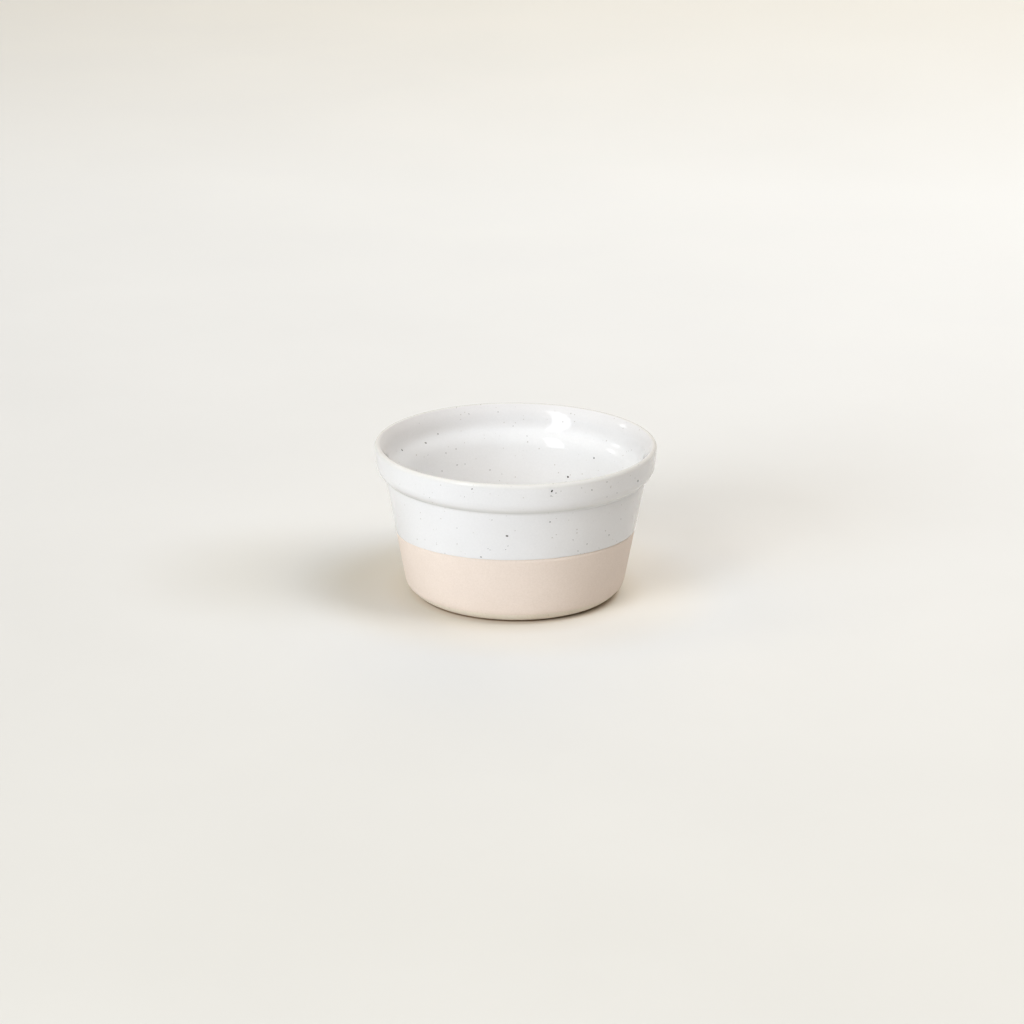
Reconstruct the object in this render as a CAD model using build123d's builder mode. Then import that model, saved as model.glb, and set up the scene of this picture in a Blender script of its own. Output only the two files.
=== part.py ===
from build123d import *
from math import atan2, degrees, hypot, radians, tan
import os

# A ramekin of fired stoneware: a clay body with a stepped collar under its lip, a white glaze
# over the inside, the lip and the upper outside, a matte blush coat over the lower outside,
# and a bare clay foot. Millimetres, +Z up, origin at the centre of the foot on the table.
# Every depth is measured down from the top of the lip, and every height up from the table.

# Finished sizes of the whole dish, coats included
rim_diameter = 100.0
height = 55.0
base_diameter = 76.5  # where the wall would meet the table if its lower corner were sharp
corner_round = 7.9

# Lip and collar, the stepped band at the top of the outside
lip_round = 1.25
lip_thickness = 1.8  # between the sharp corners that the lip is rounded from
collar_depth = 9.6
collar_lean = 5.6  # degrees from upright
collar_edge_round = 6.4
shoulder_inset = 3.65  # how far the wall just under the collar stands back from the rim
shoulder_depth = 11.5
shoulder_round = 1.4

# Inside: a flared lip, a hollow behind the collar, a soft ledge under it, and the bowl.
# The insets of the first three are measured from the rim's outer edge.
flare_depth = 2.7
flare_inset = 4.25
flare_round = 8.2
hollow_depth = 7.9
hollow_inset = 5.45
hollow_round = 7.6
ledge_depth = 11.4
ledge_inset = 9.15
ledge_round = 8.4
floor_thickness = 6.0
floor_inset = 4.75  # the sharp corner of wall and floor inside, in from that of wall and table
floor_round = 13.0

# Foot and underside, bare clay
foot_ring_width = 3.2
foot_ring_round = 0.7
recess_depth = 1.4
recess_slope_width = 2.2
recess_round = 1.5

# Coats
glaze_thickness = 0.4
foot_line_height = 3.8  # the clay is bare below this height
dip_line_height = 23.8
dip_line_rise = 4.2  # how much higher the white glaze ends at the front than at the back
dip_line_heading = -71.0  # the way that edge rises, in degrees from +X

# Trimming shapes reach this far past the form
overrun = 5.0
fill_share = 0.98  # the most of a straight run that the roundings at its two ends take up


def fitted_radii(corners, wanted):
    """The wanted corner radii, each eased where a straight run beside it is too short."""
    triples = zip(corners, corners[1:], corners[2:], wanted)
    reaches = [0]
    for before, corner, after, radius in triples:
        arriving = Vector(*corner) - Vector(*before)
        leaving = Vector(*after) - Vector(*corner)
        reaches.append(radius * tan(radians(arriving.get_angle(leaving)) / 2))
    reaches.append(0)
    ease = []
    for start, end, reach, next_reach in zip(corners, corners[1:], reaches, reaches[1:]):
        run = hypot(end[0] - start[0], end[1] - start[1])
        ease.append(min(1, fill_share * run / (reach + next_reach)))
    return [radius * min(pair) for radius, pair in zip(wanted, zip(ease, ease[1:]))]


def midpoint(first, second):
    return ((first[0] + second[0]) / 2, (first[1] + second[1]) / 2)


# Corners of the finished outline, as radius and height. The outline is drawn as if the coat
# went under the foot as well, so that the clay inside it stands on the table.
rim_radius = rim_diameter / 2
base_radius = base_diameter / 2
shoulder = (rim_radius - shoulder_inset, height - shoulder_depth)
wall_lean = degrees(atan2(shoulder[0] - base_radius, shoulder[1]))
foot_corner = (base_radius - glaze_thickness * tan(radians(wall_lean)), -glaze_thickness)
lip_overhang = lip_round * (tan(radians(45 + collar_lean / 2)) - 1)
lip_corner = (rim_radius + lip_overhang, height)
collar_edge = (lip_corner[0] - collar_depth * tan(radians(collar_lean)), height - collar_depth)
inner_lip_corner = (lip_corner[0] - lip_thickness, height)
flare = (rim_radius - flare_inset, height - flare_depth)
hollow = (rim_radius - hollow_inset, height - hollow_depth)
ledge = (rim_radius - ledge_inset, height - ledge_depth)
floor_corner = (base_radius - floor_inset, floor_thickness)

rounded_corners = [
    (foot_corner, corner_round),
    (shoulder, shoulder_round),
    (collar_edge, collar_edge_round),
    (lip_corner, lip_round),
    (inner_lip_corner, lip_round),
    (flare, flare_round),
    (hollow, hollow_round),
    (ledge, ledge_round),
    (floor_corner, floor_round),
]
past_axis = -overrun
outline_corners = [point for point, radius in rounded_corners]
outline_corners.insert(0, (past_axis, foot_corner[1]))
outline_corners.append((past_axis, floor_thickness))
outline_radii = fitted_radii(outline_corners, [radius for point, radius in rounded_corners])

# The flat ring that the dish stands on starts where the rounding of its lower corner ends
foot_ring_outer = foot_corner[0] - outline_radii[0] * tan(radians(45 - wall_lean / 2))
foot_ring_inner = foot_ring_outer - foot_ring_width
recess_radius = foot_ring_inner - recess_slope_width

# A line through the middle of the wall that parts the outer coat from the inner one
beyond_rim = rim_radius + overrun
above_lip = height + overrun
below_table = -overrun
wall_middle = [
    (rim_radius - lip_round, above_lip),
    (rim_radius - lip_round, height - lip_round),
    midpoint(collar_edge, hollow),
    midpoint(shoulder, ledge),
    midpoint(foot_corner, floor_corner),
]

# The slanted plane along which the white glaze ends
rise_direction = Vector(1, 0, 0).rotate(Axis.Z, dip_line_heading)
dip_plane = Plane(
    origin=(0, 0, dip_line_height),
    z_dir=Vector(0, 0, 1) - rise_direction * (dip_line_rise / (2 * shoulder[0])),
)

# The finished outline, and the clay one coat's thickness inside it
with BuildSketch(Plane.XZ) as coated_form:
    with BuildLine():
        outline = FilletPolyline(*outline_corners, radius=outline_radii)
        Line(outline @ 1, outline @ 0)
    make_face()

with BuildSketch(Plane.XZ) as clay_form:
    add(coated_form.sketch)
    offset(amount=-glaze_thickness)

# Half section of the clay, hollowed a little underneath so that it stands on a ring
with BuildSketch(Plane.XZ) as clay_section:
    add(clay_form.sketch)
    Rectangle(beyond_rim, 2 * above_lip, align=(Align.MIN, Align.CENTER), mode=Mode.INTERSECT)
    with BuildLine():
        FilletPolyline(
            (0, 0),
            (0, recess_depth),
            (recess_radius, recess_depth),
            (foot_ring_inner, 0),
            radius=(0, recess_round),
        )
        Line((foot_ring_inner, 0), (0, 0))
    make_face(mode=Mode.SUBTRACT)
    ring_edge = clay_section.vertices().group_by(Axis.Y)[0].sort_by(Axis.X)[0]
    fillet(ring_edge, radius=foot_ring_round)

# Half sections of the coat outside and inside the wall
with BuildSketch(Plane.XZ) as outer_coat_section:
    add(coated_form.sketch)
    add(clay_form.sketch, mode=Mode.SUBTRACT)
    with BuildLine():
        Polyline(
            *wall_middle,
            (wall_middle[-1][0], below_table),
            (beyond_rim, below_table),
            (beyond_rim, above_lip),
            close=True,
        )
    make_face(mode=Mode.INTERSECT)
    with Locations((0, foot_line_height)):
        Rectangle(beyond_rim, above_lip, align=(Align.MIN, Align.MAX), mode=Mode.SUBTRACT)

with BuildSketch(Plane.XZ) as inner_coat_section:
    add(coated_form.sketch)
    add(clay_form.sketch, mode=Mode.SUBTRACT)
    with BuildLine():
        Polyline(*wall_middle, (0, wall_middle[-1][1]), (0, above_lip), close=True)
    make_face(mode=Mode.INTERSECT)

# The fired clay body: floor, wall, collar, lip and foot ring in one
with BuildPart() as clay_body:
    add(clay_section.sketch)
    revolve(axis=Axis.Z)
clay_body.part.label = "clay_body"

# The glossy white glaze: the outside down to the slanted line, the lip and the whole inside
with BuildPart() as white_glaze:
    add(outer_coat_section.sketch)
    revolve(axis=Axis.Z)
    split(bisect_by=dip_plane, keep=Keep.TOP)
    add(inner_coat_section.sketch)
    revolve(axis=Axis.Z)
white_glaze.part.label = "white_glaze"

# The matte blush coat: the outside from the slanted line down to the bare foot
with BuildPart() as blush_coat:
    add(outer_coat_section.sketch)
    revolve(axis=Axis.Z)
    split(bisect_by=dip_plane, keep=Keep.BOTTOM)
blush_coat.part.label = "blush_coat"

os.makedirs("parts", exist_ok=True)
export_step(clay_body.part, "parts/clay_body.step")
export_step(white_glaze.part, "parts/white_glaze.step")
export_step(blush_coat.part, "parts/blush_coat.step")
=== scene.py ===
import bpy
import math
import random
from mathutils import Matrix, Vector, noise
from mathutils.bvhtree import BVHTree


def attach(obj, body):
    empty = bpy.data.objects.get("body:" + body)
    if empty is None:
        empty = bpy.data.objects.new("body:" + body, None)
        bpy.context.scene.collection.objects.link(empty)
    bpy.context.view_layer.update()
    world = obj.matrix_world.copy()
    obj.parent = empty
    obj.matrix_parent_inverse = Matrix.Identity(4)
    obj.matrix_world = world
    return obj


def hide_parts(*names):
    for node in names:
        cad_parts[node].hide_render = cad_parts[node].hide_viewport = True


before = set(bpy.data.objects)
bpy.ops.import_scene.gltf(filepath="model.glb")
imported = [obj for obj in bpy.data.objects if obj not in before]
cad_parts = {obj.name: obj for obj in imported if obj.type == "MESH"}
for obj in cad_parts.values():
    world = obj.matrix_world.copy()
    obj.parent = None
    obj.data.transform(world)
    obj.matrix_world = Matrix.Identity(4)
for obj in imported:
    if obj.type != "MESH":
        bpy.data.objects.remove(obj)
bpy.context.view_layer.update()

MM = 0.001

# Finished outline, in millimetres and in the part's own sizes. The rim is a hair smaller, so that
# the pieces stay inside the part's box.
RIM_RADIUS = 49.98
HEIGHT = 55.0
BASE_RADIUS = 38.25
CORNER_ROUND = 7.9
COAT = 0.4
LIP_ROUND = 1.25
LIP_THICKNESS = 1.8
COLLAR_DEPTH = 9.6
COLLAR_LEAN = math.radians(5.6)
COLLAR_EDGE_ROUND = 6.4
SHOULDER_RADIUS = 46.35
SHOULDER_DEPTH = 11.5
SHOULDER_ROUND = 1.4
FLARE_RADIUS = 45.75
FLARE_DEPTH = 2.7
FLARE_ROUND = 8.2
HOLLOW_RADIUS = 44.55
HOLLOW_DEPTH = 7.9
HOLLOW_ROUND = 7.6
LEDGE_RADIUS = 40.85
LEDGE_DEPTH = 11.4
LEDGE_ROUND = 8.4
BOWL_RADIUS = 33.5
BOWL_FLOOR = 6.0
BOWL_ROUND = 13.0

# Lower edge of the blush coat, the slanted dip line between the coats, and the underside
FOOT_LINE = 3.8
DIP_HEIGHT = 23.8
DIP_RISE = 4.2
DIP_HEADING = math.radians(-71.0)
FOOT_RING = 3.2
FOOT_RING_ROUND = 0.7
RECESS_DEPTH = 1.4
RECESS_SLOPE = 2.2
RECESS_ROUND = 1.5

# Rounded edges of the coats, and how far the blush coat lies below the white glaze
GLAZE_BEAD = 0.16
BLUSH_EDGE = 0.12
BLUSH_SUNK = 0.09
# Unevenness of the dip line: how fast it varies around the dish, a seed, and its reach
DIP_WAVES = [(2.2, 4.7, 0.07), (9.0, 1.3, 0.03)]

# How finely the pieces are meshed
COLUMNS = 288
ARC_STEP = math.radians(5)
STRAIGHT_STEP = 2.5
QUARTER_STEPS = 4
GAP_STEPS = 5
EDGE_BAND = 4.0  # within this of the dip line, the rows of points follow it
FILL_SHARE = 0.98  # the most of a straight run that the roundings at its two ends take up
NO_LENGTH = 1e-6
SAME_PLACE = 1e-4
FLAT = 0.999  # a normal that points down by more than this lies on the flat of the foot

WALL_LEAN = math.atan2(SHOULDER_RADIUS - BASE_RADIUS, HEIGHT - SHOULDER_DEPTH)
DIP_SLOPE = DIP_RISE / (2 * SHOULDER_RADIUS)
LIP_CORNER = RIM_RADIUS + LIP_ROUND * (math.tan(math.pi / 4 + COLLAR_LEAN / 2) - 1)
COLLAR_EDGE = LIP_CORNER - COLLAR_DEPTH * math.tan(COLLAR_LEAN)
CORNERS = [
    ((BASE_RADIUS - COAT * math.tan(WALL_LEAN), -COAT), CORNER_ROUND),
    ((SHOULDER_RADIUS, HEIGHT - SHOULDER_DEPTH), SHOULDER_ROUND),
    ((COLLAR_EDGE, HEIGHT - COLLAR_DEPTH), COLLAR_EDGE_ROUND),
    ((LIP_CORNER, HEIGHT), LIP_ROUND),
    ((LIP_CORNER - LIP_THICKNESS, HEIGHT), LIP_ROUND),
    ((FLARE_RADIUS, HEIGHT - FLARE_DEPTH), FLARE_ROUND),
    ((HOLLOW_RADIUS, HEIGHT - HOLLOW_DEPTH), HOLLOW_ROUND),
    ((LEDGE_RADIUS, HEIGHT - LEDGE_DEPTH), LEDGE_ROUND),
    ((BOWL_RADIUS, BOWL_FLOOR), BOWL_ROUND),
]


# Outline
def fitted(points, wanted):
    """Corner radii, each eased where a straight run beside it is too short."""
    reaches = [0.0]
    for before, corner, after, radius in zip(points, points[1:], points[2:], wanted):
        arriving = Vector((corner[0] - before[0], corner[1] - before[1]))
        leaving = Vector((after[0] - corner[0], after[1] - corner[1]))
        reaches.append(radius * math.tan(arriving.angle(leaving) / 2))
    reaches.append(0.0)
    ease = []
    for start, end, reach, next_reach in zip(points, points[1:], reaches, reaches[1:]):
        run = math.hypot(end[0] - start[0], end[1] - start[1])
        ease.append(min(1.0, FILL_SHARE * run / (reach + next_reach)))
    return [radius * min(pair) for radius, pair in zip(wanted, zip(ease, ease[1:]))]


def rounded(points, radii):
    """Points of a polyline with rounded corners, each with its outward normal."""
    path = []

    def add_straight(start, end):
        length = (end - start).length
        if length < NO_LENGTH:
            return
        heading = (end - start) / length
        count = max(1, round(length / STRAIGHT_STEP))
        for k in range(count + 1):
            path.append((start.lerp(end, k / count), Vector((heading.y, -heading.x))))

    here = Vector(points[0])
    for before, corner, after, radius in zip(points, points[1:], points[2:], radii):
        corner = Vector(corner)
        arriving = (corner - Vector(before)).normalized()
        leaving = (Vector(after) - corner).normalized()
        turn = math.atan2(arriving.x * leaving.y - arriving.y * leaving.x, arriving.dot(leaving))
        reach = radius * math.tan(abs(turn) / 2)
        start = corner - arriving * reach
        add_straight(here, start)
        side = 1 if turn > 0 else -1
        centre = start + Vector((-arriving.y, arriving.x)) * radius * side
        arm = start - centre
        count = max(2, math.ceil(abs(turn) / ARC_STEP))
        for k in range(count + 1):
            cosine = math.cos(turn * k / count)
            sine = math.sin(turn * k / count)
            turned_arm = Vector((arm.x * cosine - arm.y * sine, arm.x * sine + arm.y * cosine))
            path.append((centre + turned_arm, turned_arm.normalized() * side))
        here = corner + leaving * reach
    add_straight(here, Vector(points[-1]))
    kept = [path[0]]
    for point, normal in path[1:]:
        if (point - kept[-1][0]).length > SAME_PLACE:
            kept.append((point, normal))
    return kept


corner_points = [(0.0, -COAT)] + [point for point, radius in CORNERS] + [(0.0, BOWL_FLOOR)]
corner_radii = fitted(corner_points, [radius for point, radius in CORNERS])
outline = rounded(corner_points, corner_radii)


def first_above(height):
    """The index of the outline's first point above a height, counted up the outside."""
    return next(k for k, (point, normal) in enumerate(outline) if point.y > height)


def dip_height(angle):
    """Height of the white glaze's lower edge on the wall, with a faint unevenness of hand dipping."""
    rise = DIP_SLOPE * math.cos(angle - DIP_HEADING)
    level = (DIP_HEIGHT + rise * BASE_RADIUS) / (1 - rise * math.tan(WALL_LEAN))
    for rate, seed, reach in DIP_WAVES:
        level += reach * noise.noise(Vector((math.cos(angle) * rate, math.sin(angle) * rate, seed)))
    return level


# Meshes
def new_piece(name, verts, faces, material):
    """An object in the scene, made of one smooth mesh with one material."""
    mesh = bpy.data.meshes.new(name)
    mesh.from_pydata(verts, [], faces)
    mesh.validate()
    for polygon in mesh.polygons:
        polygon.use_smooth = True
    mesh.update()
    mesh.materials.append(material)
    piece = bpy.data.objects.new(name, mesh)
    bpy.context.scene.collection.objects.link(piece)
    return piece


def lathe(name, columns, closed_loop, material, poles):
    """A closed body from one loop of (radius, height) points a column, all with as many points.

    The rows in poles lie on the axis, and all columns share their points.
    """
    count = len(columns)
    rows = len(columns[0])
    verts = []
    index = []
    for k, column in enumerate(columns):
        cosine = math.cos(2 * math.pi * k / count)
        sine = math.sin(2 * math.pi * k / count)
        ring = []
        for j, (radius, height) in enumerate(column):
            if j in poles and k > 0:
                ring.append(index[0][j])
                continue
            ring.append(len(verts))
            verts.append((radius * cosine * MM, radius * sine * MM, height * MM))
        index.append(ring)
    faces = []
    spans = rows if closed_loop else rows - 1
    for k in range(count):
        here = index[k]
        beside = index[(k + 1) % count]
        for j in range(spans):
            after = (j + 1) % rows
            face = []
            for vert in (here[j], beside[j], beside[after], here[after]):
                if vert not in face:
                    face.append(vert)
            if len(face) > 2:
                faces.append(face)
    return new_piece(name, verts, faces, material)


# Shader helpers
def new_material(name):
    material = bpy.data.materials.new(name)
    material.use_nodes = True
    nodes = material.node_tree.nodes
    nodes.clear()
    return material, nodes, material.node_tree.links


def math_node(nodes, links, operation, first, second, clamp=False):
    made = nodes.new("ShaderNodeMath")
    made.operation = operation
    made.use_clamp = clamp
    for socket, value in zip(made.inputs, (first, second)):
        if isinstance(value, (int, float)):
            socket.default_value = value
        else:
            links.new(value, socket)
    return made.outputs[0]


def ramp(nodes, links, factor, stops, smooth=False):
    """A run through stops, each a place and either a plain value or a colour."""
    made = nodes.new("ShaderNodeValToRGB")
    made.color_ramp.interpolation = "EASE" if smooth else "LINEAR"
    elements = made.color_ramp.elements
    while len(elements) < len(stops):
        elements.new(0.5)
    for element, (place, value) in zip(elements, stops):
        element.position = place
        element.color = (value, value, value, 1) if isinstance(value, float) else (*value, 1)
    links.new(factor, made.inputs[0])
    return made.outputs[0]


def between(nodes, links, factor, pair, start=0.3, end=0.7):
    """Goes from the first of a pair to the second while a noise goes from start to end."""
    return ramp(nodes, links, factor, [(start, pair[0]), (end, pair[1])])


def mix_colour(nodes, links, factor, first, second, mode="MIX"):
    made = nodes.new("ShaderNodeMix")
    made.data_type = "RGBA"
    made.blend_type = mode
    made.clamp_factor = True
    if isinstance(factor, (int, float)):
        made.inputs[0].default_value = factor
    else:
        links.new(factor, made.inputs[0])
    # The node has a set of sockets for each kind of data. Those for colours are 6, 7 and output 2.
    for socket, value in ((made.inputs[6], first), (made.inputs[7], second)):
        if isinstance(value, tuple):
            socket.default_value = (*value, 1)
        else:
            links.new(value, socket)
    return made.outputs[2]


def noise_node(nodes, links, place, scale, detail, roughness):
    made = nodes.new("ShaderNodeTexNoise")
    made.inputs["Scale"].default_value = scale
    made.inputs["Detail"].default_value = detail
    made.inputs["Roughness"].default_value = roughness
    links.new(place, made.inputs["Vector"])
    return made.outputs["Fac"]


def bump(nodes, links, height, depth, strength, normal=None):
    """Relief of a depth in millimetres, on top of any relief given as a normal."""
    made = nodes.new("ShaderNodeBump")
    made.inputs["Strength"].default_value = strength
    made.inputs["Distance"].default_value = depth * MM
    links.new(height, made.inputs["Height"])
    if normal is not None:
        links.new(normal, made.inputs["Normal"])
    return made.outputs["Normal"]


def finish_shader(nodes, links, colour, roughness, normal, specular=0.5):
    shader = nodes.new("ShaderNodeBsdfPrincipled")
    out = nodes.new("ShaderNodeOutputMaterial")
    links.new(shader.outputs[0], out.inputs[0])
    links.new(colour, shader.inputs["Base Color"])
    if isinstance(roughness, float):
        shader.inputs["Roughness"].default_value = roughness
    else:
        links.new(roughness, shader.inputs["Roughness"])
    links.new(normal, shader.inputs["Normal"])
    shader.inputs["IOR"].default_value = 1.5
    shader.inputs["Specular IOR Level"].default_value = specular


EMPTY_CELLS_SHARE = 0.65


def speck_field(nodes, links, place, scale, reach, crispness):
    """A mask of small round dots, one at most in each cell of a random pattern."""
    cell = nodes.new("ShaderNodeTexVoronoi")
    cell.feature = "F1"
    cell.inputs["Scale"].default_value = scale
    links.new(place, cell.inputs["Vector"])
    apart = nodes.new("ShaderNodeSeparateColor")
    links.new(cell.outputs["Color"], apart.inputs[0])
    size = ramp(nodes, links, apart.outputs[0], [(0.0, 0.0), (EMPTY_CELLS_SHARE, 0.0), (1.0, 1.0)])
    size = math_node(nodes, links, "MULTIPLY", size, reach)
    inside = math_node(nodes, links, "SUBTRACT", size, cell.outputs["Distance"])
    return math_node(nodes, links, "MULTIPLY", inside, crispness, clamp=True)


# Colours of the materials. A pair gives the two ends of a faint cloudiness.
# The glaze is painted lighter inside and darker outside: painted light and shade
GLAZE_INSIDE_LIT = ((0.835, 0.838, 0.850), (0.855, 0.858, 0.870))
GLAZE_OUTSIDE_SHADED = ((0.770, 0.756, 0.756), (0.790, 0.777, 0.778))
# the lip's glaze breaking thin to buff, with painted shade on top of it
GLAZE_ON_LIP_BREAK_AND_SHADE = (0.76, 0.74, 0.68)
# painted shade in the crease under the collar
GLAZE_CREASE_SHADE = (0.60, 0.60, 0.575)
GLAZE_MOTTLE = ((0.965, 0.965, 0.963), (1.0, 1.0, 1.0))
GLAZE_DOTS = (0.36, 0.32, 0.27)
BLUSH = ((0.781, 0.669, 0.591), (0.811, 0.698, 0.619))
BLUSH_GRAIN = (0.69, 0.58, 0.49)
CLAY = ((0.76, 0.68, 0.575), (0.82, 0.745, 0.645))
CLAY_GRAIN = (0.55, 0.44, 0.31)
CLAY_GROG = (0.32, 0.24, 0.16)
IRON = ((0.018, 0.015, 0.013), (0.05, 0.042, 0.035))

# Where the white glaze changes tone: shares of the dish's height for the painted shade in the
# crease and for the lip, and shares of the rim's radius for the lip's outer edge
CREASE_SHADE_SHARES = [(0.772, 0.0), (0.793, 1.0), (0.810, 1.0), (0.838, 0.0)]
LIP_SHARES = [(0.968, 0.0), (0.988, 1.0)]
LIP_EDGE_SHARES = [(0.968, 0.0), (0.984, 1.0)]
CREASE_SHADE_STRENGTH = 0.45
LIP_STRENGTH = 0.45
DOTS_STRENGTH = 0.52
PARTING = 2.6  # the inner tone starts this far inside the wall's outer face, in millimetres


# Materials
def white_glaze_material():
    material, nodes, links = new_material("white_glaze_speckled")
    place = nodes.new("ShaderNodeTexCoord").outputs["Object"]
    apart = nodes.new("ShaderNodeSeparateXYZ")
    links.new(place, apart.inputs[0])
    flat = nodes.new("ShaderNodeCombineXYZ")
    links.new(apart.outputs[0], flat.inputs[0])
    links.new(apart.outputs[1], flat.inputs[1])
    across = nodes.new("ShaderNodeVectorMath")
    across.operation = "LENGTH"
    links.new(flat.outputs[0], across.inputs[0])
    radius = across.outputs["Value"]
    height = math_node(nodes, links, "MULTIPLY", apart.outputs[2], 1 / (HEIGHT * MM))

    # Inside and outside, parted by a soft step one millimetre wide. The inside is painted lighter
    # and the outside painted darker: painted light and shade that set how bright each side looks
    cloud = noise_node(nodes, links, place, scale=55, detail=3, roughness=0.55)
    inner_lit = between(nodes, links, cloud, GLAZE_INSIDE_LIT)
    outer_shaded = between(nodes, links, cloud, GLAZE_OUTSIDE_SHADED)
    lean = math_node(nodes, links, "MULTIPLY", apart.outputs[2], math.tan(WALL_LEAN))
    side = math_node(nodes, links, "SUBTRACT", radius, lean)
    side = math_node(nodes, links, "MULTIPLY", side, 1 / MM)
    side = math_node(nodes, links, "SUBTRACT", side, BASE_RADIUS - PARTING)
    outside = math_node(nodes, links, "ADD", side, 0.5, clamp=True)
    tone = mix_colour(nodes, links, outside, inner_lit, outer_shaded)

    # Painted shade in the crease under the collar, a darker grey that stands in for the collar's shadow
    crease_shade = ramp(nodes, links, height, CREASE_SHADE_SHARES, smooth=True)
    crease_shade = math_node(nodes, links, "MULTIPLY", crease_shade, outside)
    crease_shade = math_node(nodes, links, "MULTIPLY", crease_shade, CREASE_SHADE_STRENGTH)
    tone = mix_colour(nodes, links, crease_shade, tone, GLAZE_CREASE_SHADE)

    # Thin and patchy on the lip, where the glaze breaks warm over the clay, and painted darker there
    # too: painted shade of the rounded lip between its lit and unlit sides
    patchy = noise_node(nodes, links, place, scale=190, detail=2, roughness=0.6)
    patchy = between(nodes, links, patchy, (0.75, 1.0))
    lip = ramp(nodes, links, height, LIP_SHARES, smooth=True)
    brink = math_node(nodes, links, "MULTIPLY", radius, 1 / (RIM_RADIUS * MM))
    brink = ramp(nodes, links, brink, LIP_EDGE_SHARES, smooth=True)
    edge = math_node(nodes, links, "MULTIPLY", math_node(nodes, links, "MULTIPLY", lip, patchy), brink)
    edge = math_node(nodes, links, "MULTIPLY", edge, LIP_STRENGTH)
    colour = mix_colour(nodes, links, edge, tone, GLAZE_ON_LIP_BREAK_AND_SHADE)

    # Mottle and the faintest dots
    mottle = noise_node(nodes, links, place, scale=1300, detail=3, roughness=0.7)
    mottle = between(nodes, links, mottle, GLAZE_MOTTLE)
    colour = mix_colour(nodes, links, 1.0, colour, mottle, "MULTIPLY")
    dots = speck_field(nodes, links, place, scale=700, reach=0.24, crispness=12.0)
    dots = math_node(nodes, links, "MULTIPLY", dots, DOTS_STRENGTH)
    colour = mix_colour(nodes, links, dots, colour, GLAZE_DOTS)

    # Waviness and orange-peel
    wave = noise_node(nodes, links, place, scale=140, detail=1, roughness=0.4)
    peel = noise_node(nodes, links, place, scale=900, detail=2, roughness=0.5)
    normal = bump(nodes, links, wave, depth=0.06, strength=0.5)
    normal = bump(nodes, links, peel, depth=0.008, strength=0.5, normal=normal)
    rough = noise_node(nodes, links, place, scale=320, detail=2, roughness=0.5)
    rough = between(nodes, links, rough, (0.035, 0.055))
    finish_shader(nodes, links, colour, rough, normal)
    return material


def blush_material():
    material, nodes, links = new_material("blush_matte_coat")
    place = nodes.new("ShaderNodeTexCoord").outputs["Object"]
    cloud = noise_node(nodes, links, place, scale=60, detail=3, roughness=0.6)
    tone = between(nodes, links, cloud, BLUSH)
    grain = noise_node(nodes, links, place, scale=1500, detail=3, roughness=0.75)
    grainy = between(nodes, links, grain, (0.0, 0.45), start=0.4, end=0.75)
    colour = mix_colour(nodes, links, grainy, tone, BLUSH_GRAIN)
    relief = noise_node(nodes, links, place, scale=2100, detail=3, roughness=0.6)
    normal = bump(nodes, links, relief, depth=0.03, strength=0.6)
    rough = between(nodes, links, grain, (0.62, 0.75))
    finish_shader(nodes, links, colour, rough, normal, specular=0.3)
    return material


def clay_material():
    material, nodes, links = new_material("bare_fired_clay")
    place = nodes.new("ShaderNodeTexCoord").outputs["Object"]
    cloud = noise_node(nodes, links, place, scale=90, detail=4, roughness=0.6)
    tone = between(nodes, links, cloud, CLAY)
    grain = noise_node(nodes, links, place, scale=1900, detail=4, roughness=0.75)
    grainy = between(nodes, links, grain, (0.0, 0.4), start=0.5, end=0.75)
    colour = mix_colour(nodes, links, grainy, tone, CLAY_GRAIN)
    grog = speck_field(nodes, links, place, scale=1100, reach=0.28, crispness=8.0)
    grog = math_node(nodes, links, "MULTIPLY", grog, 0.5)
    colour = mix_colour(nodes, links, grog, colour, CLAY_GROG)
    relief = noise_node(nodes, links, place, scale=1500, detail=4, roughness=0.7)
    normal = bump(nodes, links, relief, depth=0.08, strength=0.7)
    finish_shader(nodes, links, colour, roughness=0.88, normal=normal, specular=0.2)
    return material


def speck_material():
    material, nodes, links = new_material("iron_speck")
    place = nodes.new("ShaderNodeTexCoord").outputs["Object"]
    grain = noise_node(nodes, links, place, scale=4000, detail=2, roughness=0.5)
    tone = between(nodes, links, grain, IRON, start=0.35, end=0.65)
    normal = bump(nodes, links, grain, depth=0.01, strength=0.5)
    finish_shader(nodes, links, tone, roughness=0.25, normal=normal)
    return material


# The fired clay body
ring_start = next(k for k, (point, normal) in enumerate(outline) if normal.y > -FLAT)
clay_path = [point - normal * COAT for point, normal in outline]
ring_outer = clay_path[ring_start - 1].x
ring_inner = ring_outer - FOOT_RING
recess_radius = ring_inner - RECESS_SLOPE
underside = rounded(
    [(0.0, RECESS_DEPTH), (recess_radius, RECESS_DEPTH), (ring_inner, 0.0), (ring_outer, 0.0)],
    [RECESS_ROUND, FOOT_RING_ROUND],
)
clay_loop = [tuple(point) for point, normal in underside]
clay_loop += [tuple(point) for point in clay_path[ring_start:]]
clay_loop[0] = (0.0, RECESS_DEPTH)
clay_loop[-1] = (0.0, clay_loop[-1][1])
clay_poles = (0, len(clay_loop) - 1)
body = lathe("fired_clay_body", [clay_loop] * COLUMNS, False, clay_material(), clay_poles)
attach(body, "root")
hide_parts("clay_body")

# Both coats are lathed from one cross-section a column, because their edges follow the dip line
wall_normal = Vector((math.cos(WALL_LEAN), -math.sin(WALL_LEAN)))
wall_up = Vector((math.sin(WALL_LEAN), math.cos(WALL_LEAN)))
column_angles = [2 * math.pi * k / COLUMNS for k in range(COLUMNS)]


def wall_point(height):
    return Vector((BASE_RADIUS + height * math.tan(WALL_LEAN), height))


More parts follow.
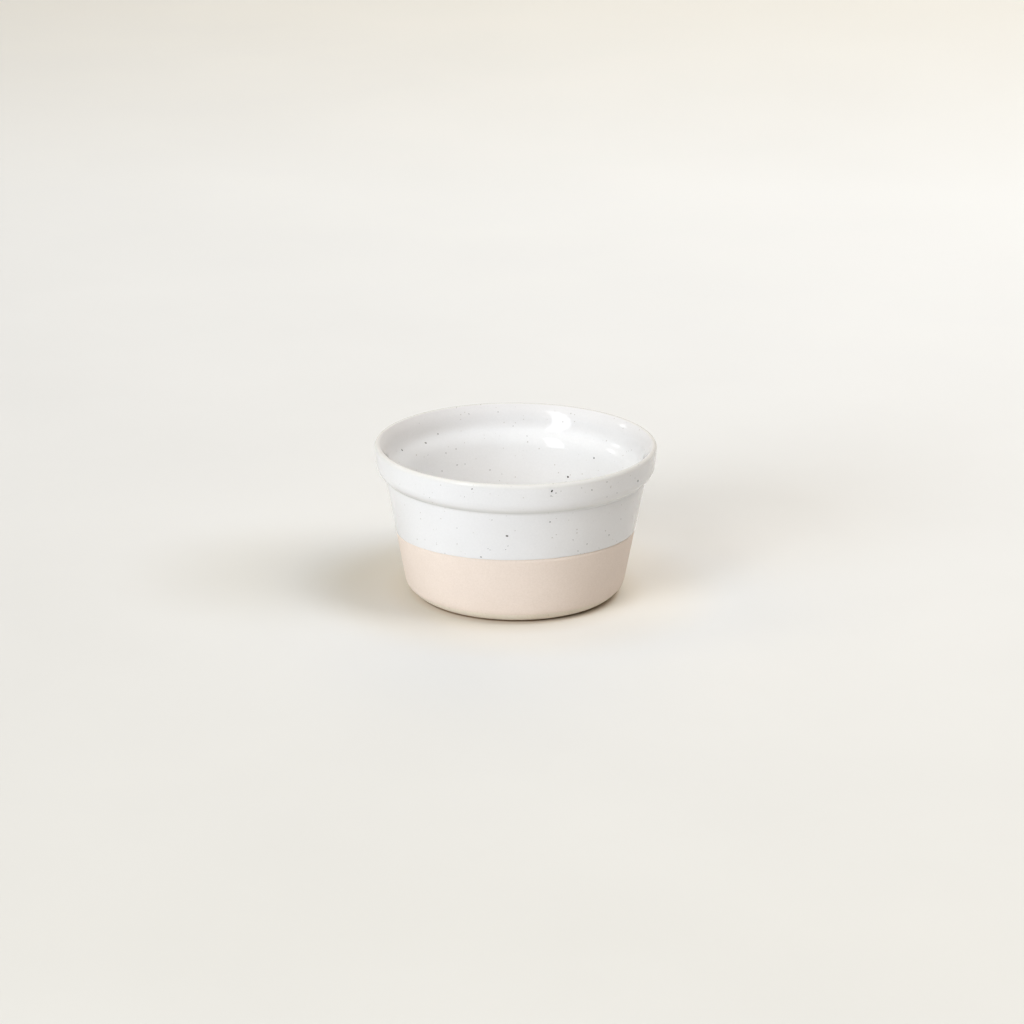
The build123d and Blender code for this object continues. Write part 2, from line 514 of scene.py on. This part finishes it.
def quarter_round(centre, radius, upward, outward):
    """A quarter of a circle, from straight down to straight out."""
    points = []
    for j in range(QUARTER_STEPS + 1):
        turn = math.pi / 2 * j / QUARTER_STEPS
        point = centre - upward * radius * math.cos(turn) + outward * radius * math.sin(turn)
        points.append(tuple(point))
    return points


def points_between(start, end):
    return [tuple(start.lerp(end, j / GAP_STEPS)) for j in range(1, GAP_STEPS)]


# The white glaze
upper_run = outline[first_above(DIP_HEIGHT + EDGE_BAND):]


def white_column(angle):
    """From the coat's back at the dip line round the bead, over the lip, inside, and back."""
    edge = wall_point(dip_height(angle))
    back = edge - wall_normal * COAT
    centre = edge + wall_up * GLAZE_BEAD - wall_normal * GLAZE_BEAD
    loop = [tuple(back)]
    loop += quarter_round(centre, GLAZE_BEAD, wall_up, wall_normal)
    loop += points_between(edge + wall_up * GLAZE_BEAD, upper_run[0][0])
    loop += [tuple(point) for point, normal in upper_run]
    loop[-1] = (0.0, BOWL_FLOOR)
    behind = [tuple(point - normal * COAT) for point, normal in reversed(upper_run)]
    behind[0] = (0.0, BOWL_FLOOR - COAT)
    return loop + behind + points_between(Vector(behind[-1]), back)


white_columns = [white_column(angle) for angle in column_angles]
white_poles = [j for j, point in enumerate(white_columns[0]) if point[0] == 0.0]
glaze = lathe("white_glaze_coat", white_columns, True, white_glaze_material(), white_poles)
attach(glaze, "root")
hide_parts("white_glaze")

# The blush coat, whose lower edge is where the outline crosses the foot line
foot_next = first_above(FOOT_LINE)
lower_run = outline[foot_next:first_above(DIP_HEIGHT - EDGE_BAND)]
(point_below, normal_below), (point_above, normal_above) = outline[foot_next - 1:foot_next + 1]
crossing = (FOOT_LINE - point_below.y) / (point_above.y - point_below.y)
foot_point = point_below.lerp(point_above, crossing)
foot_normal = normal_below.lerp(normal_above, crossing).normalized()
foot_up = Vector((-foot_normal.y, foot_normal.x))


def blush_column(angle):
    """From the coat's back at the foot line round its edge, up to the dip line, and back."""
    edge = wall_point(dip_height(angle))
    back = edge - wall_normal * COAT
    top = edge - wall_normal * BLUSH_SUNK
    centre = foot_point + foot_up * BLUSH_EDGE - foot_normal * (BLUSH_EDGE + BLUSH_SUNK)
    loop = [tuple(foot_point - foot_normal * COAT)]
    loop += quarter_round(centre, BLUSH_EDGE, foot_up, foot_normal)
    loop += [tuple(point - normal * BLUSH_SUNK) for point, normal in lower_run]
    loop += points_between(Vector(loop[-1]), top)
    loop += [tuple(top), tuple(back)]
    behind = [tuple(point - normal * COAT) for point, normal in reversed(lower_run)]
    return loop + points_between(back, Vector(behind[0])) + behind


blush_columns = [blush_column(angle) for angle in column_angles]
band = lathe("blush_coat_band", blush_columns, True, blush_material(), ())
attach(band, "root")
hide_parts("blush_coat")

# Camera. The distance and the end of its view are in metres and the sensor is in millimetres.
# The focal length and the place of the middle of the foot are in pixels of the photograph.
DISTANCE = 1.4
ELEVATION = math.radians(19.366)
ROLL = math.radians(0.396)
FOCAL_PX = 3905.958
IMAGE_PX = 1024
ORIGIN_PX = (514.79, 588.97)
SENSOR_WIDTH = 36.0
CLIP_END = 50


def turned(first, second, angle):
    """Two directions at right angles, turned in their plane."""
    return (first * math.cos(angle) + second * math.sin(angle),
            second * math.cos(angle) - first * math.sin(angle))


forward = Vector((0, math.cos(ELEVATION), -math.sin(ELEVATION)))
right = Vector((1, 0, 0))
upward = Vector((0, math.sin(ELEVATION), math.cos(ELEVATION)))
eye = -forward * DISTANCE
right, upward = turned(right, upward, ROLL)
pitch = math.atan((ORIGIN_PX[1] - IMAGE_PX / 2) / FOCAL_PX)
yaw = math.atan((ORIGIN_PX[0] - IMAGE_PX / 2) / FOCAL_PX)
forward, upward = turned(forward, upward, pitch)
forward, right = turned(forward, right, -yaw)
camera_data = bpy.data.cameras.new("camera")
camera_data.sensor_width = SENSOR_WIDTH
camera_data.lens = FOCAL_PX * SENSOR_WIDTH / IMAGE_PX
camera_data.clip_end = CLIP_END
camera = bpy.data.objects.new("camera", camera_data)
bpy.context.scene.collection.objects.link(camera)
camera.matrix_world = Matrix((
    (right.x, upward.x, -forward.x, eye.x),
    (right.y, upward.y, -forward.y, eye.y),
    (right.z, upward.z, -forward.z, eye.z),
    (0, 0, 0, 1),
))
bpy.context.scene.camera = camera

# Iron specks in the glaze
# The flecks that show most in front, picked from the photograph: diameter in millimetres,
# and the pixels of its 1024 by 1024 frame at which such flecks lie
FLECK_PIXELS = [
    (0.95, [(402, 450), (568, 477), (638, 481), (552, 491), (507, 536)]),
    (0.75, [(426, 443), (594, 458)]),
    (0.55, [(438, 434), (472, 489), (592, 490), (550, 522), (609, 535), (481, 557)]),
    (0.42, [(446, 453), (456, 449), (457, 465), (442, 471), (490, 470), (556, 493), (551, 496),
            (621, 519), (607, 482), (617, 493), (587, 544), (578, 551)]),
    (0.33, [(498, 412), (469, 414), (513, 426), (527, 436), (428, 455), (465, 464), (607, 497),
            (492, 520), (457, 528), (445, 508), (573, 540), (599, 548), (490, 550), (508, 546)]),
]
SCATTERED_AROUND = 150
SCATTERED_IN_FRONT = 20
SPECK_SEED = 11

# Places along the outline, in millimetres from the centre of the foot: where the random flecks
# start, where the dip line can no longer be, and where the inside starts. They end a little
# short of the middle of the bowl, and keep clear of the dip line.
FLECKS_START = 62
DIP_LINE_PASSED = 80
INSIDE_STARTS = 95
FLECKS_END_SHORT = 1
CLEAR_OF_DIP_LINE = 0.8
# Degrees from +X between which the far inside shows to the camera. The near outside shows
# between the same degrees below zero.
FRONT_START = 15
FRONT_END = 165
# Widths of the random flecks in millimetres. The higher the rate, the rarer the large ones.
MIXED_SMALLEST = 0.26
MIXED_LARGEST = 0.9
MIXED_RATE = 9
SMALL_WIDTHS = (0.22, 0.32)

# A fleck is a low dome with a root, drawn out one way and ragged at its edge. Its rings are given
# as a share of its width and a height over the glaze in millimetres.
SPECK_SIDES = 9
STRETCH_SHARES = (0.8, 1.25)
RAGGED_SHARES = (0.82, 1.12)
SPECK_RINGS = [(1.0, -0.004), (0.6, 0.008)]
SPECK_TOP = 0.012
SPECK_ROOT = 0.05
OFF_AXIS = Vector((0.31, 0.17, 0.93))  # any direction that no normal of a fleck has

glaze_surface = BVHTree.FromPolygons([vert.co for vert in glaze.data.vertices],
                                     [polygon.vertices for polygon in glaze.data.polygons])
speck_draws = random.Random(SPECK_SEED)
run_length = [0.0]
for (point, normal), (next_point, next_normal) in zip(outline, outline[1:]):
    run_length.append(run_length[-1] + (next_point - point).length)


def seen_at(pixel):
    """The point of the glaze that the camera sees at a pixel, in millimetres, and its normal."""
    x, y = pixel
    ray = forward * FOCAL_PX + right * (x - IMAGE_PX / 2) + upward * (IMAGE_PX / 2 - y)
    point, normal, face, distance = glaze_surface.ray_cast(eye, ray.normalized())
    return point / MM, normal


def on_outline(distance):
    """The point and normal of the outline at a distance along it from the centre of the foot."""
    k = next(j for j, reached in enumerate(run_length) if reached >= distance)
    share = (distance - run_length[k - 1]) / (run_length[k] - run_length[k - 1])
    point = outline[k - 1][0].lerp(outline[k][0], share)
    normal = outline[k - 1][1].lerp(outline[k][1], share).normalized()
    return point, normal


def shown_in_front(turn, distance):
    if distance > INSIDE_STARTS:
        return FRONT_START < turn < FRONT_END
    return -FRONT_END < turn < -FRONT_START


def scatter(count, in_front, new_width):
    """Random flecks, evenly spread over the glaze in front or over the rest of it."""
    found = []
    while len(found) < count:
        turn = speck_draws.uniform(-180, 180)
        distance = speck_draws.uniform(FLECKS_START, run_length[-1] - FLECKS_END_SHORT)
        point, normal = on_outline(distance)
        crowded = speck_draws.random() > point.x / RIM_RADIUS
        if crowded or shown_in_front(turn, distance) != in_front:
            continue
        angle = math.radians(turn)
        lowest = DIP_HEIGHT + DIP_SLOPE * math.cos(angle - DIP_HEADING) * point.x + CLEAR_OF_DIP_LINE
        if distance < DIP_LINE_PASSED and point.y < lowest:
            continue
        cosine = math.cos(angle)
        sine = math.sin(angle)
        centre = Vector((point.x * cosine, point.x * sine, point.y))
        outward = Vector((normal.x * cosine, normal.x * sine, normal.y))
        found.append((centre, outward, new_width()))
    return found


def mixed_width():
    return min(MIXED_LARGEST, MIXED_SMALLEST + speck_draws.expovariate(MIXED_RATE))


def small_width():
    return speck_draws.uniform(*SMALL_WIDTHS)


def fleck_mesh(centre, outward, width, base):
    """Verts and faces of one uneven fleck, whose verts are numbered from base."""
    around = outward.cross(OFF_AXIS).normalized()
    along = outward.cross(around)
    stretch = speck_draws.uniform(*STRETCH_SHARES)
    swing = speck_draws.uniform(0, math.pi)
    rim = []
    for j in range(SPECK_SIDES):
        angle = 2 * math.pi * j / SPECK_SIDES
        reach = width / 2 * speck_draws.uniform(*RAGGED_SHARES)
        long = reach * math.cos(angle) * stretch
        short = reach * math.sin(angle) / stretch
        rim.append((long * math.cos(swing) - short * math.sin(swing),
                    long * math.sin(swing) + short * math.cos(swing)))
    verts = []
    for share, lift in SPECK_RINGS:
        for x, y in rim:
            verts.append(centre + around * x * share + along * y * share + outward * lift)
    verts.append(centre + outward * SPECK_TOP)
    verts.append(centre - outward * SPECK_ROOT)
    high = base + SPECK_SIDES
    top = high + SPECK_SIDES
    faces = []
    for j in range(SPECK_SIDES):
        after = (j + 1) % SPECK_SIDES
        faces.append((base + j, base + after, high + after, high + j))
        faces.append((high + j, high + after, top))
        faces.append((base + after, base + j, top + 1))
    return verts, faces


flecks = [(*seen_at(pixel), width) for width, pixels in FLECK_PIXELS for pixel in pixels]
flecks += scatter(SCATTERED_AROUND, False, mixed_width)
flecks += scatter(SCATTERED_IN_FRONT, True, small_width)
speck_verts = []
speck_faces = []
for centre, outward, width in flecks:
    verts, faces = fleck_mesh(centre, outward, width, len(speck_verts))
    speck_verts += verts
    speck_faces += faces
specks = new_piece("iron_specks", [vert * MM for vert in speck_verts], speck_faces, speck_material())
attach(specks, "root")

# Floor
FLOOR_HALF = 3.0
# The floor's colour in front of the dish, at it and behind it, by distance away in millimetres,
# and how much paler it grows from left to right: painted light, a fall of light across the floor
# painted into its colour. Values above 1 make up for the far lamps' light that falls off there.
FLOOR_LIGHT_BY_DEPTH = [(-300.0, (0.775, 0.775, 0.76)), (0.0, (0.82, 0.83, 0.84)), (600.0, (0.98, 1.02, 1.09))]
FLOOR_LIGHT_BY_WIDTH = [(-400.0, (0.92, 0.92, 0.92)), (400.0, (1.08, 1.08, 1.08))]
FLOOR_CLOUD = ((0.985, 0.985, 0.985), (1.01, 1.01, 1.01))
# Round painted tints on the floor: the middle, then distances from it and tints there, in
# millimetres. A dark brown ring where the floor meets the foot is a painted contact shadow, with
# painted warm light round it; a painted shadow dims the floor to the left of the dish, and painted
# light makes it a little paler to the right, in the shade there.
FLOOR_PAINTED_SHADOWS_AND_LIGHT = [
    # painted contact shadow under the foot, and painted warm light round it
    ((0, 0, 0), [(33.5, (0.50, 0.34, 0.23)), (35.2, (0.93, 0.83, 0.72)), (39.0, (0.98, 0.93, 0.85)),
                 (50.0, (1.0, 0.97, 0.92)), (80.0, (1.0, 1.0, 1.0))]),
    # painted shadow to the left of the dish
    ((-84, 16, 0), [(8.0, (0.89, 0.88, 0.855)), (70.0, (1.0, 1.0, 1.0))]),
    # painted light in the shade to the right of the dish
    ((62, 62, 0), [(8.0, (1.11, 1.11, 1.12)), (65.0, (1.0, 1.0, 1.0))]),
]


def floor_material():
    material, nodes, links = new_material("pale_floor")
    place = nodes.new("ShaderNodeTexCoord").outputs["Object"]
    apart = nodes.new("ShaderNodeSeparateXYZ")
    links.new(place, apart.inputs[0])
    cloud = noise_node(nodes, links, place, scale=9, detail=3, roughness=0.5)
    tone = between(nodes, links, cloud, FLOOR_CLOUD)
    # Painted light: the floor's tone graded in depth and from left to right
    for coordinate, stops in ((apart.outputs[1], FLOOR_LIGHT_BY_DEPTH), (apart.outputs[0], FLOOR_LIGHT_BY_WIDTH)):
        start = stops[0][0]
        length = stops[-1][0] - start
        share = math_node(nodes, links, "SUBTRACT", coordinate, start * MM)
        share = math_node(nodes, links, "MULTIPLY", share, 1 / (length * MM))
        paint = ramp(nodes, links, share, [((at - start) / length, colour) for at, colour in stops])
        tone = mix_colour(nodes, links, 1.0, tone, paint, "MULTIPLY")
    # Painted shadows and light, each round a middle
    for middle, painted_stops in FLOOR_PAINTED_SHADOWS_AND_LIGHT:
        away = nodes.new("ShaderNodeVectorMath")
        away.operation = "DISTANCE"
        links.new(place, away.inputs[0])
        away.inputs[1].default_value = [coordinate * MM for coordinate in middle]
        reach = painted_stops[-1][0]
        share = math_node(nodes, links, "MULTIPLY", away.outputs["Value"], 1 / (reach * MM))
        tint = ramp(nodes, links, share, [(at / reach, colour) for at, colour in painted_stops], smooth=True)
        tone = mix_colour(nodes, links, 1.0, tone, tint, "MULTIPLY")
    fibre = noise_node(nodes, links, place, scale=700, detail=3, roughness=0.6)
    normal = bump(nodes, links, fibre, depth=0.02, strength=0.3)
    finish_shader(nodes, links, tone, roughness=0.8, normal=normal, specular=0.1)
    return material


floor_ends = (-FLOOR_HALF, FLOOR_HALF)
floor_corners = [(x, y, 0.0) for y in floor_ends for x in floor_ends]
floor = new_piece("floor", floor_corners, [(0, 1, 3, 2)], floor_material())

# Lights
WHITE = (1.0, 1.0, 1.0)
COOL = (0.93, 0.95, 1.0)
SKY = (0.72, 0.87, 1.0)
WARM = (1.0, 0.94, 0.84)
AMBER = (1.0, 0.84, 0.56)
AIM_HEIGHT = 0.03


def softbox(name, azimuth, elevation, distance, width, height, watts, tint, upright=False, gloss=False):
    """A rectangular lamp, in degrees and metres. Azimuth is measured from the camera's side towards -X."""
    data = bpy.data.lights.new(name, "AREA")
    data.shape = "RECTANGLE"
    data.size = width
    data.size_y = height
    data.energy = watts
    data.color = tint
    lamp = bpy.data.objects.new(name, data)
    around = math.radians(azimuth)
    above = math.radians(elevation)
    lamp.location = Vector((
        -math.sin(around) * math.cos(above),
        -math.cos(around) * math.cos(above),
        math.sin(above),
    )) * distance
    aim = Vector((0, 0, AIM_HEIGHT)) - lamp.location
    if upright:
        aim.z = 0
    lamp.rotation_euler = aim.to_track_quat("-Z", "Y").to_euler()
    lamp.visible_glossy = gloss
    bpy.context.scene.collection.objects.link(lamp)
    return lamp


softbox("key", 42.5, 34.8, 1.95, 0.51, 2.06, 12.5, COOL, upright=True, gloss=True)
softbox("front_left", 28, 30, 2.0, 0.8, 0.8, 11.5, WARM)
softbox("low_left", 45, 15, 2.0, 1.1, 1.0, 14.5, SKY)
softbox("right", -62, 53, 1.8, 0.6, 0.6, 6.5, WARM)
softbox("right_top", -65, 70, 1.8, 0.7, 0.7, 8.0, COOL)
softbox("back", 180, 30, 2.0, 1.1, 1.0, 6.5, AMBER)
softbox("back_top", 180, 60, 2.0, 1.1, 1.0, 3.0, WARM)
softbox("back_left", 105, 45, 2.0, 1.1, 1.0, 5.5, AMBER)
softbox("back_right", 215, 35, 2.0, 1.0, 1.0, 3.5, AMBER)
softbox("back_right_top", 245, 58, 2.0, 1.0, 1.0, 4.0, WHITE)
left_glint = softbox("left_glint", 118, 30, 1.6, 0.25, 0.25, 0.5, WHITE, gloss=True)
left_glint.visible_diffuse = False

# A faint room for the diffuse light, and a pale one in what the glaze mirrors
ROOM_COLOUR = (1, 1, 1, 1)
ROOM_LIGHT = 0.02
ROOM_MIRRORED = 0.7
world = bpy.data.worlds.new("studio")
bpy.context.scene.world = world
world.use_nodes = True
background = world.node_tree.nodes["Background"]
background.inputs["Color"].default_value = ROOM_COLOUR
ray = world.node_tree.nodes.new("ShaderNodeLightPath")
strength = world.node_tree.nodes.new("ShaderNodeMapRange")
strength.inputs["To Min"].default_value = ROOM_LIGHT
strength.inputs["To Max"].default_value = ROOM_MIRRORED
world.node_tree.links.new(ray.outputs["Is Glossy Ray"], strength.inputs["Value"])
world.node_tree.links.new(strength.outputs["Result"], background.inputs["Strength"])

bpy.context.scene.view_settings.view_transform = "Standard"
